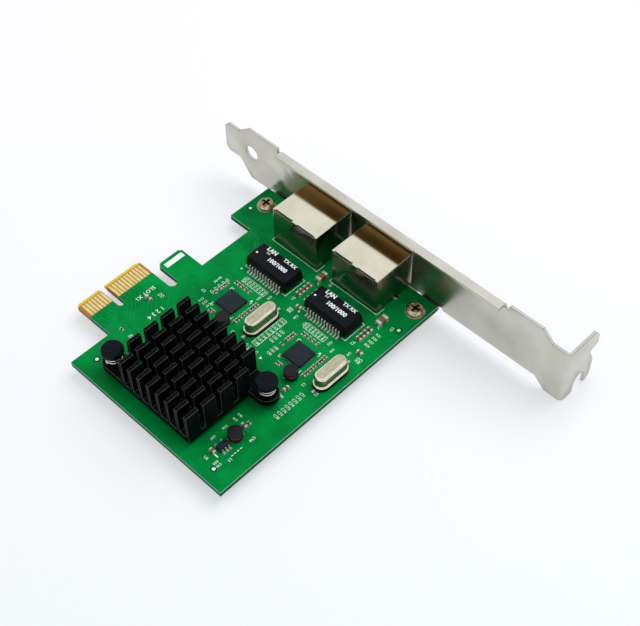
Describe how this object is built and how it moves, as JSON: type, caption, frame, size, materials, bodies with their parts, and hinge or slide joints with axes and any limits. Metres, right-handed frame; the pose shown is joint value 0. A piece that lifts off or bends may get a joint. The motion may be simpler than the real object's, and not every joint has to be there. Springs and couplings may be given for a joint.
{
  "type": "network interface card",
  "caption": "Low-profile expansion board on a full-height bracket, with shielded network jacks, line transformers, controller chips, a finned heatsink and a keyed edge connector.",
  "frame": {"origin": "centre of the key notch in the edge connector, at the level of the contact tips, on the component face of the board", "axes": "+X along the edge connector away from the bracket, +Y out of the slot along the bracket towards its tab, +Z out of the component face"},
  "size_m": [0.09, 0.12, 0.0217],
  "materials": {
    "bracket_steel": "bright nickel-plated sheet steel, faint brushing",
    "screw_steel": "nickel-plated screw",
    "chip_package": "fine matte dark slate epoxy",
    "tinned_metal": "bright tin",
    "ceramic": "tan fired ceramic",
    "resistor_film": "glazed black film",
    "board": "glossy green solder mask over glass-fibre laminate",
    "ferrite": "sintered dark grey ferrite",
    "copper_wire": "enamelled copper wire",
    "crystal_can": "satin nickel-plated can",
    "crystal_seat": "dark insulating plate",
    "gold_plating": "hard gold plating, slightly satin",
    "black_aluminium": "black anodised, satin",
    "spring_steel": "bright spring wire",
    "activity_lens": "unlit diffuse lens, faint amber",
    "housing_plastic": "fine-textured black moulding",
    "link_lens": "unlit diffuse lens, faint green",
    "shield_nickel": "mirror-bright nickel-plated sheet",
    "transformer_plastic": "satin black epoxy moulding",
    "pin_plastic": "dark slate nylon",
    "thermal_pad": "soft grey pad"
  },
  "bodies": {
    "root": {"bracket": "bracket_steel", "bracket_screws": "screw_steel", "bridge_chip": "chip_package", "bridge_chip_lands": "tinned_metal", "chip_capacitors": "ceramic", "chip_capacitors_ends": "tinned_metal", "chip_resistors": "resistor_film", "chip_resistors_ends": "tinned_metal", "circuit_board": "board", "controller_1": "chip_package", "controller_1_inductor_core": "ferrite", "controller_1_inductor_terminals": "tinned_metal", "controller_1_inductor_winding": "copper_wire", "controller_1_lands": "tinned_metal", "controller_2": "chip_package", "controller_2_inductor_core": "ferrite", "controller_2_inductor_terminals": "tinned_metal", "controller_2_inductor_winding": "copper_wire", "controller_2_lands": "tinned_metal", "crystal_1_can": "crystal_can", "crystal_1_leads": "tinned_metal", "crystal_1_seat": "crystal_seat", "crystal_2_can": "crystal_can", "crystal_2_leads": "tinned_metal", "crystal_2_seat": "crystal_seat", "edge_contacts": "gold_plating", "heatsink": "black_aluminium", "isolation_capacitors": "ceramic", "isolation_capacitors_ends": "tinned_metal", "pin_springs": "spring_steel", "port_1_activity_lamp": "activity_lens", "port_1_contacts": "gold_plating", "port_1_housing": "housing_plastic", "port_1_link_lamp": "link_lens", "port_1_shield": "shield_nickel", "port_1_transformer": "transformer_plastic", "port_1_transformer_leads": "tinned_metal", "port_2_activity_lamp": "activity_lens", "port_2_contacts": "gold_plating", "port_2_housing": "housing_plastic", "port_2_link_lamp": "link_lens", "port_2_shield": "shield_nickel", "port_2_transformer": "transformer_plastic", "port_2_transformer_leads": "tinned_metal", "port_solder": "tinned_metal", "push_pins": "pin_plastic", "small_capacitors": "ceramic", "small_capacitors_ends": "tinned_metal", "supply_inductor_core": "ferrite", "supply_inductor_terminals": "tinned_metal", "supply_inductor_winding": "copper_wire", "thermal_pad": "thermal_pad", "voltage_regulator": "chip_package", "voltage_regulator_leads": "tinned_metal"}
  },
  "joints": []
}
